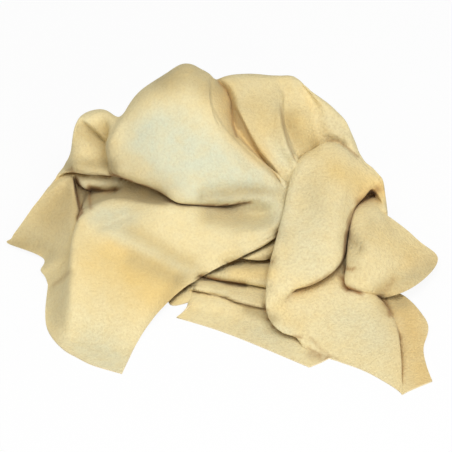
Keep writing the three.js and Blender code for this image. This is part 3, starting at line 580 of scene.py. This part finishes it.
# Painted shade: dark brown lines and hollows in the tight folds, besides the shade painted under the folds'
# edges
PAINTED_CREASE_SHADE = [
    Mark(0.6, 1.8, [(-104, 161), (-98, 160), (-92, 159), (-86, 160.5)]),
    Mark(0.6, 1.5, CAVE_PANEL),
    Mark(0.6, 1.2, HOLLOW_LINE),
    Mark(0.4, 2.5, PANEL_BORDER, "right"),
    Mark(0.5, 1.5, RIDGE, "left"),
    Mark(0.5, 1.3, [(84, 200), (92, 200), (97, 197), (102, 192), (108, 187)]),
    Mark(0.08, 1.5, LAP_CREASE),
    Mark(1.0, 1.8, SECOND_PLEAT),
    Mark(0.7, 1.4, [(4, 75.2), (10, 72.5), (20, 69.5), (40, 65.5)], "right"),
    Mark(0.6, 3.0, [(108, 151), (114, 153.5), (120, 158.5), (124, 161)]),
    Mark(0.4, 5.0, SCARF_LOW, "left"),
    Mark(0.8, 1.2, [(97.5, 98.3), (105, 97)]),
    Mark(0.7, 1.4, [(93, 94), (95.5, 87), (98.5, 83), (102, 81)]),
    Mark(1.0, 2.2, [(99, 82.8), (103, 81.5), (110, 78.5)]),
    Mark(0.8, 2.0, [(129, 70.5), (132.5, 66), (133, 61)]),
    Mark(0.35, 1.6, [(125, 77), (129, 79), (135, 89)]),
    Mark(0.3, 1.6, [(-134, 85), (-128, 88.5), (-121, 95)]),
    Mark(0.3, 1.2, NOSE_CREASE),
    Mark(0.4, 1.2, [(68, 35), (73, 32.5), (78, 29.5), (83, 26)]),
    Mark(0.4, 3.0, [(70, 30), (76, 28), (82, 26)]),
    Mark(0.5, 1.2, [(57, 44.5), (63, 43.5)]),
]

# Where the nap stands up and shows its grain
FUZZY_PATCHES = [
    Mark(1.0, 40, [(70, 160), (60, 70), (120, 40), (150, 30)]),
    Mark(1.0, 30, [(130, 120), (150, 105)]),
    Mark(0.7, 30, [(20, 90), (20, 55)]),
    Mark(0.6, 30, [(40, 225), (90, 210)]),
    Mark(0.5, 25, [(-110, 30), (-85, 50)]),
    Mark(0.4, 25, [(-150, 125), (-110, 195)]),
]

# Cut corners that stay sharp, by where they are seen
SHARP_CORNERS = [(-79, 15), (69, 20), (-36, 59), (166, 9), (127, 75)]

# How the drawn net becomes skin
PUSH_PASSES = 5
PUSH_SHARE = 0.8
SPREAD_PASSES = 14
MARK_STEP = 1.0
CRISP_REACH = 3.5
MARK_TAPER = 12
TAPER_SHARE = 0.3
SIGHT_CLEARANCE = 0.6 * MM

# The dark line under a fold's edge: its width, the drop that brings it, and the slope that doesn't
SHADE_WIDTH = 2.0
SHADE_REACH = 4
SHADE_DROP = (0.5, 3)
SHADE_SLOPE = 1.0
SLOT_DEPTH = 7

# Small unevenness of a worn skin: its two sizes, and how high the finer one is beside the other
RIPPLE_SIZES = (24 * MM, 9 * MM)
FINE_RIPPLE = 0.4

# Cloud patterns of the suede: the size of their blotches, and their detail
PATCHES = (26 * MM, 4)
BLOTCHES = (11 * MM, 5)
WRINKLES = (4.5 * MM, 3)
GRAIN = (2.0 * MM, 3)
FIBRES = (0.9 * MM, 4)
CLOUD_ROUGHNESS = 0.6

# The part of a pattern's values that is used
CLOUD_SPAN = (0.3, 0.7)
BLOTCH_SPAN = (0.4, 0.75)
PIT_SPAN = (0.36, 0.6)

# What the patterns bring, from the low end of that part to its high end
PATCH_STRENGTH = (0.7, 1.0)
BLOTCH_STRENGTH = (0.0, 0.25)
PIT_STRENGTH = (0.18, 0.0)
NAP_ROUGHNESS = (0.86, 0.98)
FIBRE_TAN = (0.45, 0.0)
FIBRE_ROUGHNESS = (0.9, 1.0)

# How strong the pits, the wrinkles and the grain are, from where the nap lies flat to where it stands up
FUZZY_PITS = (0.6, 1.0)
FUZZY_WRINKLES = (0.4, 0.8)
FUZZY_GRAIN = (0.65, 1.0)

# Relief and gloss of the skin
WRINKLE_DEPTH = 0.7 * MM
FIBRE_DEPTH = 0.4 * MM
FIBRE_STRENGTH = 0.9
SKIN_GLOSS = 0.2
SHEEN_WEIGHT = 0.25
SHEEN_ROUGHNESS = 0.6

# Table and soft boxes, in metres, and the across and rise that the picture's middle has on the drawing
TABLE_RADIUS = 6
TABLE_SIDES = 64
TABLE_ROUGHNESS = 0.9
TABLE_GLOW = 0.92
WHITE = (1, 1, 1, 1)
HEAP_MIDDLE = Vector((0, 0, 0.05))
KEY_SIZE = 1.0
KEY_PLACE = (0.05, -0.65, 1.45)
FILL_SIZE = 0.9
FILL_PLACE = (0.5, -1.4, 0.7)
DRAWN_MIDDLE = (3.2, 132)

# Sockets of Blender's colour mix node
MIX_FACTOR, MIX_A, MIX_B, MIX_OUT = 0, 6, 7, 2


def colour_setting(name, description, *shade):
    """An opaque colour on the panel."""
    return FloatVectorProperty(
        name=name, description=description, subtype="COLOR", size=4, default=(*shade, 1)
    )


def measure_setting(name, description, default, unit="LENGTH"):
    """A measure on the panel, with its unit."""
    return FloatProperty(name=name, description=description, default=default, unit=unit)


class ChamoisSkinSettings(bpy.types.PropertyGroup):
    """Sizes and colours of the skin, and of the light and shade painted on it."""

    thickness: measure_setting("Thickness", "Thickness of the skin at its cut edge", 1.2 * MM)
    smoothing: IntProperty(
        name="Smoothing", description="Times that the net is subdivided", default=3, min=1, max=4
    )
    ripple: measure_setting("Ripple", "Height of the small unevenness of a worn skin", 0.5 * MM)
    nap: measure_setting("Nap", "Depth of the nap's grain", 1.3 * MM)
    cream: colour_setting("Cream", "Colour of most of the skin", 0.86, 0.735, 0.415)
    # Golden: the skin's oil stain, and painted warm shade in pockets, valleys and under lips
    golden: colour_setting("Golden", "Colour of the oil-stained patches", 0.83, 0.59, 0.21)
    # Pale: painted highlight where light falls full on, with the skin's paler tone; also the sheen's tint
    pale: colour_setting("Pale", "Colour of the bleached patches", 0.68, 0.70, 0.52)
    # Tan: the skin's browner tone, and painted warm shade in the hollow, the hole and short creases
    tan: colour_setting("Tan", "Colour of the browner patches", 0.78, 0.56, 0.23)
    # Painted shade: darker colour where shade falls, in the cave, valleys, pockets and under lips
    painted_shade: colour_setting("Dull", "Colour of the grimy patches", 0.50, 0.40, 0.20)
    # Painted shade inside the tight folds and under the folds' edges; also darkens the nap's pits
    crease: colour_setting("Crease", "Colour inside the tight folds", 0.30, 0.13, 0.03)
    cut_edge: colour_setting("Cut edge", "Colour of the fibres at the cut edge", 0.86, 0.76, 0.52)


class ChamoisStageSettings(bpy.types.PropertyGroup):
    """Table, light and camera."""

    table: colour_setting("Table", "Colour of the table top", 0.9, 0.9, 0.9)
    daylight: measure_setting("Daylight", "Strength of the even light all round", 0.41, "NONE")
    key: measure_setting("Key light", "Power of the large soft box in front", 14, "POWER")
    fill: measure_setting("Fill light", "Power of the soft box at the side", 6.9, "POWER")
    view_width: measure_setting("View width", "Width of the picture at the heap", 361.6 * MM)
    view_distance: measure_setting("View distance", "How far the camera stands back", 12)


def fill_rib(rib):
    """All stations of a rib, those left out filled in."""
    known = [station for station, _ in rib]
    places = np.array([place for _, place in rib])
    return np.stack([np.interp(range(LAST_STATION + 1), known, places[:, i]) for i in range(3)], axis=1)


def skin_net():
    """The net of ribs as a grid of quads, faces up, with the skin's own map."""
    net = bmesh.new()
    net.loops.layers.uv.new("skin")
    bmesh.ops.create_grid(net, x_segments=len(RIBS) - 1, y_segments=LAST_STATION, size=1, calc_uvs=True)
    net.verts.ensure_lookup_table()
    for column, rib in enumerate(RIBS):
        for station, place in enumerate(fill_rib(rib)):
            row = LAST_STATION - station
            net.verts[row * len(RIBS) + column].co = place
    return net


def coordinates(mesh):
    """The mesh's points as rows of an array."""
    flat = np.empty(len(mesh.vertices) * 3)
    mesh.vertices.foreach_get("co", flat)
    return flat.reshape(-1, 3)


def set_coordinates(mesh, points):
    """Moves the mesh's points to the rows of an array."""
    mesh.vertices.foreach_set("co", points.ravel())
    mesh.update()


def shaped_mesh(piece):
    """A copy of the piece's mesh with its modifiers applied."""
    graph = bpy.context.evaluated_depsgraph_get()
    return bpy.data.meshes.new_from_object(piece.evaluated_get(graph))


def drawn_place(points):
    """Across and rise of points on the drawing, in millimetres, one row each."""
    across = points[:, 0] / MM + DRAWN_ORIGIN[0]
    depth = points[:, 1] / MM + DRAWN_ORIGIN[1]
    height = points[:, 2] / MM - DRAWN_LIFT
    return np.stack([across, depth * RISE_PER_DEPTH + height * RISE_PER_HEIGHT], axis=1)


def sharpen_corners(net):
    """Creases the points of the cut edge that are seen nearest the sharp corners."""
    layer = net.verts.layers.float.new("crease_vert")
    rim = [v for v in net.verts if v.is_boundary]
    places = drawn_place(np.array([v.co for v in rim]))
    for corner in SHARP_CORNERS:
        nearest = np.argmin(np.linalg.norm(places - corner, axis=1))
        rim[nearest][layer] = 1


def smooth_through(piece, levels):
    """Subdivides the piece, with its net pushed out so that the smooth skin meets every drawn point."""
    smooth = piece.modifiers.new("smooth", "SUBSURF")
    smooth.levels = levels
    smooth.render_levels = levels
    smooth.boundary_smooth = "ALL"
    drawn = coordinates(piece.data)
    for _ in range(PUSH_PASSES):
        reached = shaped_mesh(piece)
        short_by = drawn - coordinates(reached)[: len(drawn)]
        set_coordinates(piece.data, coordinates(piece.data) + short_by * PUSH_SHARE)
        bpy.data.meshes.remove(reached)
    skin = shaped_mesh(piece)
    piece.modifiers.remove(smooth)
    piece.data = skin


def points_in_sight(mesh):
    """Which points nothing hides from the viewer."""
    shell = bmesh.new()
    shell.from_mesh(mesh)
    tree = BVHTree.FromBMesh(shell)
    clear = [tree.ray_cast(v.co + TO_VIEWER * SIGHT_CLEARANCE, TO_VIEWER)[0] is None for v in shell.verts]
    shell.free()
    return np.array(clear)


def smooth_step(low, high, value):
    """Rises smoothly from 0 at low to 1 at high."""
    share = np.clip((value - low) / (high - low), 0, 1)
    return share * share * (3 - 2 * share)


def nearest_on_path(places, path):
    """Distance from a path, with the side it is on, and how far along the nearest point is."""
    corners = np.array(path, float)
    starts = np.concatenate([[0], np.cumsum(np.linalg.norm(np.diff(corners, axis=0), axis=1))])
    best = np.full(len(places), np.inf)
    left = np.zeros(len(places))
    along = np.zeros(len(places))
    for index, (start, end) in enumerate(zip(corners[:-1], corners[1:])):
        run = end - start
        share = np.clip(((places - start) @ run) / (run @ run), 0, 1)
        gap = places - start - share[:, None] * run
        away = np.linalg.norm(gap, axis=1)
        nearer = away < best
        best[nearer] = away[nearer]
        left[nearer] = np.sign(run[0] * gap[:, 1] - run[1] * gap[:, 0])[nearer]
        along[nearer] = (starts[index] + share * np.linalg.norm(run))[nearer]
    return best, left, along, starts[-1]


def mark_strength(places, mark):
    """How strongly a mark acts at each place: its lift on the path, fading away from it."""
    away, left, along, length = nearest_on_path(places, mark.path)
    strength = np.exp(-((away / mark.width) ** 2))
    if mark.side != "both":
        turn = 1 if mark.side == "left" else -1
        strength *= smooth_step(-MARK_STEP, MARK_STEP, away * left * turn)
        taper = min(MARK_TAPER, length * TAPER_SHARE)
        strength *= smooth_step(0, taper, along) * smooth_step(0, taper, length - along)
    return mark.lift * strength


def neighbour_mean(mesh, values):
    """Mean of the values at each point's neighbours."""
    ends = np.empty(len(mesh.edges) * 2, int)
    mesh.edges.foreach_get("vertices", ends)
    first, second = ends.reshape(-1, 2).T
    count = len(values)
    total = np.bincount(first, values[second], count) + np.bincount(second, values[first], count)
    return total / np.bincount(ends, minlength=count)


def spread_to_hidden(mesh, values, in_sight):
    """Carries values from the points in sight a little way under the folds."""
    values = np.where(in_sight, values, 0)
    for _ in range(SPREAD_PASSES):
        values = np.where(in_sight, values, neighbour_mean(mesh, values))
    return values


def refine_folds(mesh):
    """Halves the squares in sight beside the crisp folds."""
    in_sight = points_in_sight(mesh)
    places = drawn_place(coordinates(mesh))
    near = np.zeros(len(in_sight), bool)
    for path in CRISP_FOLDS:
        near |= nearest_on_path(places, path)[0] < CRISP_REACH
    near &= in_sight
    shell = bmesh.new()
    shell.from_mesh(mesh)
    faces = [face for face in shell.faces if all(near[v.index] for v in face.verts)]
    edges = list({edge for face in faces for edge in face.edges})
    bmesh.ops.subdivide_edges(shell, edges=edges, cuts=1, use_grid_fill=True, smooth=1.0)
    shell.to_mesh(mesh)
    shell.free()


def fold_shade(mesh, in_sight):
    """Strength of the dark line at each point in sight that a fold's edge stands close over."""
    points = coordinates(mesh)
    places = drawn_place(points)
    nearness = points @ np.array(TO_VIEWER) / MM
    near = np.zeros(len(points), bool)
    for path in SHADED_FOLDS:
        near |= nearest_on_path(places, path)[0] < SHADE_REACH
    beside = np.flatnonzero(near & in_sight)
    lookup = KDTree(len(beside))
    for index in beside:
        lookup.insert((*places[index], 0), index)
    lookup.balance()
    shade = np.zeros(len(points))
    for index in beside:
        for _, other, away in lookup.find_range((*places[index], 0), SHADE_REACH):
            drop = smooth_step(*SHADE_DROP, nearness[other] - nearness[index] - SHADE_SLOPE * away)
            shade[index] = max(shade[index], drop * math.exp(-((away / SHADE_WIDTH) ** 2)))
    return shade


def press_folds(mesh):
    """Lifts and presses the skin along the fold marks, and opens a slot under the folds' edges."""
    points = coordinates(mesh)
    in_sight = points_in_sight(mesh)
    places = drawn_place(points)
    lift = sum(mark_strength(places, mark) for mark in FOLD_MARKS)
    lift = spread_to_hidden(mesh, lift, in_sight)
    set_coordinates(mesh, points + np.outer(lift * MM, TO_VIEWER))
    in_sight = points_in_sight(mesh)
    slot = spread_to_hidden(mesh, fold_shade(mesh, in_sight), in_sight)
    slot = (slot + neighbour_mean(mesh, slot)) / 2
    set_coordinates(mesh, coordinates(mesh) - np.outer(slot * SLOT_DEPTH * MM, TO_VIEWER))


def ripple_skin(mesh, height):
    """Small unevenness of a worn skin, at two sizes."""
    points = coordinates(mesh)
    outward = np.empty(len(points) * 3)
    mesh.vertices.foreach_get("normal", outward)
    broad, fine = [
        np.array([noise.noise(Vector(point) / size) for point in points]) for size in RIPPLE_SIZES
    ]
    rise = height * (broad + FINE_RIPPLE * fine)
    set_coordinates(mesh, points + rise[:, None] * outward.reshape(-1, 3))


def lay_on_table(mesh, thickness):
    """Keeps the skin's middle at least half its thickness above the table."""
    points = coordinates(mesh)
    points[:, 2] = np.maximum(points[:, 2], thickness / 2)
    set_coordinates(mesh, points)


def paint_stains_and_shade(mesh, name, channels):
    """Stores how strongly each list of stains and painted light and shade colours each point, in an
    attribute of the skin.
    """
    in_sight = points_in_sight(mesh)
    places = drawn_place(coordinates(mesh))
    stains_and_painted_light = np.ones((len(mesh.vertices), 4), np.float32)
    for channel, marks in enumerate(channels):
        amount = sum(mark_strength(places, mark) for mark in marks)
        # The painted crease shade also takes the dark line of shade painted under the edges of the folds
        # that lie close over the skin
        if marks is PAINTED_CREASE_SHADE:
            amount = np.maximum(amount, fold_shade(mesh, in_sight))
        stains_and_painted_light[:, channel] = np.clip(spread_to_hidden(mesh, amount, in_sight), 0, 1)
    layer = mesh.color_attributes.new(name, "FLOAT_COLOR", "POINT")
    layer.data.foreach_set("color", stains_and_painted_light.ravel())


def thicken(piece, thickness):
    """Gives the skin its thickness, with a cut edge of its own finish and crisp borders."""
    wall = piece.modifiers.new("thickness", "SOLIDIFY")
    wall.thickness = thickness
    wall.offset = 0
    wall.use_rim = True
    wall.material_offset_rim = 1
    solid = shaped_mesh(piece)
    piece.modifiers.remove(wall)
    piece.data = solid
    shell = bmesh.new()
    shell.from_mesh(solid)
    for face in shell.faces:
        face.smooth = True
    for edge in shell.edges:
        finishes = {face.material_index for face in edge.link_faces}
        edge.smooth = len(finishes) == 1
    shell.to_mesh(solid)
    shell.free()


def add_node(tree, kind, links=(), **settings):
    """A node with its settings, and its sockets filled with values or fed by other nodes."""
    made = tree.nodes.new(kind)
    for name, value in settings.items():
        setattr(made, name, value)
    for socket, value in links:
        if isinstance(value, bpy.types.NodeSocket):
            tree.links.new(value, made.inputs[socket])
        else:
            made.inputs[socket].default_value = value
    return made


def attribute_parts(tree, name):
    """The three parts of a colour attribute of the skin."""
    stored = add_node(tree, "ShaderNodeAttribute", attribute_name=name)
    parts = add_node(tree, "ShaderNodeSeparateColor", [("Color", stored.outputs["Color"])])
    return parts.outputs


def mottle(tree, place, size, detail):
    """Cloudy pattern of blotches of a size."""
    clouds = add_node(
        tree, "ShaderNodeTexNoise",
        [("Vector", place), ("Scale", 1 / size), ("Detail", detail), ("Roughness", CLOUD_ROUGHNESS)],
    )
    return clouds.outputs["Fac"]


def ranged(tree, value, result, span=(0, 1)):
    """A value carried from one span to another."""
    sockets = ("Value", "From Min", "From Max", "To Min", "To Max")
    made = add_node(tree, "ShaderNodeMapRange", zip(sockets, (value, *span, *result)))
    return made.outputs["Result"]


def times(tree, first, second):
    """Product of two values, kept between 0 and 1."""
    made = add_node(tree, "ShaderNodeMath", [(0, first), (1, second)], operation="MULTIPLY", use_clamp=True)
    return made.outputs[0]


def mixed(tree, share, first, second):
    """One colour carried towards another."""
    links = [(MIX_FACTOR, share), (MIX_A, first), (MIX_B, second)]
    return add_node(tree, "ShaderNodeMix", links, data_type="RGBA").outputs[MIX_OUT]


def bumped(tree, height, distance, strength, below=None):
    """Surface grain of a depth, on top of another."""
    links = [("Height", height), ("Distance", distance), ("Strength", strength)]
    if below is not None:
        links.append(("Normal", below))
    return add_node(tree, "ShaderNodeBump", links).outputs["Normal"]


def new_finish(name):
    """An empty matt finish and its parts."""
    finish = bpy.data.materials.new(name)
    finish.use_nodes = True
    shader = finish.node_tree.nodes["Principled BSDF"]
    shader.inputs["Specular IOR Level"].default_value = SKIN_GLOSS
    place = finish.node_tree.nodes.new("ShaderNodeTexCoord").outputs["Object"]
    return finish, finish.node_tree, shader, place


def napped_suede(settings):
    """Oil-tanned suede, napped: cream with golden and tan patches, painted highlight and painted shade."""
    finish, tree, shader, place = new_finish("napped_suede")
    golden, pale, tan = attribute_parts(tree, "stain_and_painted_light")
    painted_shade, crease, fuzz = attribute_parts(tree, "painted_shade_and_nap")
    patch = ranged(tree, mottle(tree, place, *PATCHES), PATCH_STRENGTH, CLOUD_SPAN)
    colour = settings.cream
    # golden and tan are partly the skin's own stains, partly painted warm shade; pale is painted highlight;
    # painted_shade is painted shade
    stains_and_painted_light = {"golden": golden, "pale": pale, "tan": tan, "painted_shade": painted_shade}
    for name, stain_and_painted_light in stains_and_painted_light.items():
        colour = mixed(tree, times(tree, stain_and_painted_light, patch), colour, getattr(settings, name))
    blotch = ranged(tree, mottle(tree, place, *BLOTCHES), BLOTCH_STRENGTH, BLOTCH_SPAN)
    colour = mixed(tree, blotch, colour, settings.golden)
    grain = mottle(tree, place, *GRAIN)
    pit = times(tree, ranged(tree, grain, PIT_STRENGTH, PIT_SPAN), ranged(tree, fuzz, FUZZY_PITS))
    colour = mixed(tree, pit, colour, settings.crease)
    # painted shade: dark brown in the tight folds and under the folds' edges
    colour = mixed(tree, crease, colour, settings.crease)
    tree.links.new(colour, shader.inputs["Base Color"])
    tree.links.new(ranged(tree, grain, NAP_ROUGHNESS, CLOUD_SPAN), shader.inputs["Roughness"])
    wrinkle = mottle(tree, place, *WRINKLES)
    surface = bumped(tree, wrinkle, WRINKLE_DEPTH, ranged(tree, fuzz, FUZZY_WRINKLES))
    surface = bumped(tree, grain, settings.nap, ranged(tree, fuzz, FUZZY_GRAIN), surface)
    tree.links.new(surface, shader.inputs["Normal"])
    shader.inputs["Sheen Weight"].default_value = SHEEN_WEIGHT
    shader.inputs["Sheen Roughness"].default_value = SHEEN_ROUGHNESS
    shader.inputs["Sheen Tint"].default_value = settings.pale
    return finish


def cut_fibres(settings):
    """The cut edge: paler and more ragged than the nap."""
    finish, tree, shader, place = new_finish("cut_fibres")
    ragged = mottle(tree, place, *FIBRES)
    colour = mixed(tree, ranged(tree, ragged, FIBRE_TAN, CLOUD_SPAN), settings.cut_edge, settings.tan)
    tree.links.new(colour, shader.inputs["Base Color"])
    tree.links.new(ranged(tree, ragged, FIBRE_ROUGHNESS, CLOUD_SPAN), shader.inputs["Roughness"])
    tree.links.new(bumped(tree, ragged, FIBRE_DEPTH, FIBRE_STRENGTH), shader.inputs["Normal"])
    return finish


class CHAMOIS_OT_lay_skin(bpy.types.Operator):
    """Lays the skin in its heap, with its folds, thickness and finish"""

    bl_idname = "chamois.lay_skin"
    bl_label = "Lay the skin"

    def execute(self, context):
        settings = context.scene.chamois_skin
        net = skin_net()
        sharpen_corners(net)
        mesh = bpy.data.meshes.new("skin_net")
        net.to_mesh(mesh)
        net.free()
        skin = bpy.data.objects.new("skin", mesh)
        context.scene.collection.objects.link(skin)
        smooth_through(skin, settings.smoothing)
        refine_folds(skin.data)
        press_folds(skin.data)
        ripple_skin(skin.data, settings.ripple)
        lay_on_table(skin.data, settings.thickness)
        # Golden and tan partly painted warm shade, pale painted highlight; then painted shade, painted
        # crease shade and the nap
        paint_stains_and_shade(skin.data, "stain_and_painted_light", (GOLDEN_STAINS_AND_WARM_SHADE, PALE_TONE_AND_PAINTED_HIGHLIGHTS, TAN_STAINS_AND_WARM_SHADE))
        paint_stains_and_shade(skin.data, "painted_shade_and_nap", (PAINTED_SHADE_PATCHES, PAINTED_CREASE_SHADE, FUZZY_PATCHES))
        skin.data.materials.append(napped_suede(settings))
        skin.data.materials.append(cut_fibres(settings))
        thicken(skin, settings.thickness)
        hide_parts(SKIN_NODE)
        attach(skin, SKIN_BODY)
        return {"FINISHED"}


def soft_box(name, size, power, place):
    """A large square light turned to the heap."""
    lamp = bpy.data.lights.new(name, "AREA")
    lamp.size = size
    lamp.energy = power
    box = bpy.data.objects.new(name, lamp)
    box.location = place
    box.rotation_euler = (HEAP_MIDDLE - box.location).to_track_quat("-Z", "Y").to_euler()
    bpy.context.scene.collection.objects.link(box)


def seen_directly(tree):
    """1 where the camera, a gloss or a clear body looks straight at the surface, otherwise 0."""
    path = tree.nodes.new("ShaderNodeLightPath").outputs
    direct = path["Is Camera Ray"]
    for ray in ("Is Glossy Ray", "Is Transmission Ray"):
        either = add_node(tree, "ShaderNodeMath", [(0, direct), (1, path[ray])], operation="MAXIMUM")
        direct = either.outputs[0]
    return direct


def show_white(tree, share, usual, white, output):
    """Feeds an output with the usual surface, and by a share with white."""
    links = [(0, share), (1, usual.outputs[0]), (2, white.outputs[0])]
    both = add_node(tree, "ShaderNodeMixShader", links)
    tree.links.new(both.outputs[0], tree.nodes[output].inputs["Surface"])


def pale_table(settings):
    """A plain pale table top that looks white and keeps the heap's shadow."""
    finish = bpy.data.materials.new("pale_table")
    finish.use_nodes = True
    tree = finish.node_tree
    shader = tree.nodes["Principled BSDF"]
    shader.inputs["Base Color"].default_value = settings.table
    shader.inputs["Roughness"].default_value = TABLE_ROUGHNESS
    shader.inputs["Specular IOR Level"].default_value = 0.0
    glow = ranged(tree, seen_directly(tree), (0, TABLE_GLOW))
    white = add_node(tree, "ShaderNodeEmission", [("Color", WHITE), ("Strength", 1)])
    show_white(tree, glow, shader, white, "Material Output")
    return finish


def white_room(settings):
    """Even light all round, white where it is looked at."""
    room = bpy.data.worlds.new("white_room")
    room.use_nodes = True
    tree = room.node_tree
    light = tree.nodes["Background"]
    light.inputs["Color"].default_value = WHITE
    light.inputs["Strength"].default_value = settings.daylight
    white = add_node(tree, "ShaderNodeBackground", [("Color", WHITE), ("Strength", 1)])
    show_white(tree, seen_directly(tree), light, white, "World Output")
    return room


def front_camera(settings):
    """A long lens that sees the heap as it is drawn."""
    lens = bpy.data.cameras.new("front_camera")
    lens.lens = lens.sensor_width * settings.view_distance / settings.view_width
    lens.clip_end = settings.view_distance * 2
    camera = bpy.data.objects.new("front_camera", lens)
    across, rise = DRAWN_MIDDLE
    depth = rise / RISE_PER_DEPTH
    middle = Vector(((across - DRAWN_ORIGIN[0]) * MM, (depth - DRAWN_ORIGIN[1]) * MM, 0))
    camera.location = middle + TO_VIEWER * settings.view_distance
    camera.rotation_euler = (-TO_VIEWER).to_track_quat("-Z", "Y").to_euler()
    return camera


class CHAMOIS_OT_set_stage(bpy.types.Operator):
    """Sets the table, the soft light and the camera"""

    bl_idname = "chamois.set_stage"
    bl_label = "Set the stage"

    def execute(self, context):
        scene = context.scene
        settings = scene.chamois_stage
        top = bmesh.new()
        bmesh.ops.create_circle(top, cap_ends=True, segments=TABLE_SIDES, radius=TABLE_RADIUS)
        mesh = bpy.data.meshes.new("table_top")
        top.to_mesh(mesh)
        top.free()
        mesh.materials.append(pale_table(settings))
        table = bpy.data.objects.new("table_top", mesh)
        scene.collection.objects.link(table)
        soft_box("key_box", KEY_SIZE, settings.key, KEY_PLACE)
        soft_box("fill_box", FILL_SIZE, settings.fill, FILL_PLACE)
        scene.world = white_room(settings)
        camera = front_camera(settings)
        scene.collection.objects.link(camera)
        scene.camera = camera
        scene.view_settings.view_transform = "Standard"
        return {"FINISHED"}


class CHAMOIS_PT_heap(bpy.types.Panel):
    """Lists the steps and sizes of the heap"""

    bl_label = "Chamois heap"
    bl_space_type = "VIEW_3D"
    bl_region_type = "UI"
    bl_category = "Chamois"

    def draw(self, context):
        scene = context.scene
        steps = ((CHAMOIS_OT_lay_skin, scene.chamois_skin), (CHAMOIS_OT_set_stage, scene.chamois_stage))
        for step, settings in steps:
            self.layout.operator(step.bl_idname)
            for name in settings.__annotations__:
                self.layout.prop(settings, name)


CLASSES = (
    ChamoisSkinSettings,
    ChamoisStageSettings,
    CHAMOIS_OT_lay_skin,
    CHAMOIS_OT_set_stage,
    CHAMOIS_PT_heap,
)


def register():
    """Adds the settings, steps and panel."""
    for item in CLASSES:
        bpy.utils.register_class(item)
    bpy.types.Scene.chamois_skin = PointerProperty(type=ChamoisSkinSettings)
    bpy.types.Scene.chamois_stage = PointerProperty(type=ChamoisStageSettings)


def unregister():
    """Takes the settings, steps and panel away."""
    del bpy.types.Scene.chamois_stage
    del bpy.types.Scene.chamois_skin
    for item in reversed(CLASSES):
        bpy.utils.unregister_class(item)


def main():
    """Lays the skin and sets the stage."""
    register()
    bpy.ops.chamois.lay_skin()
    bpy.ops.chamois.set_stage()


if __name__ == "__main__":
    main()
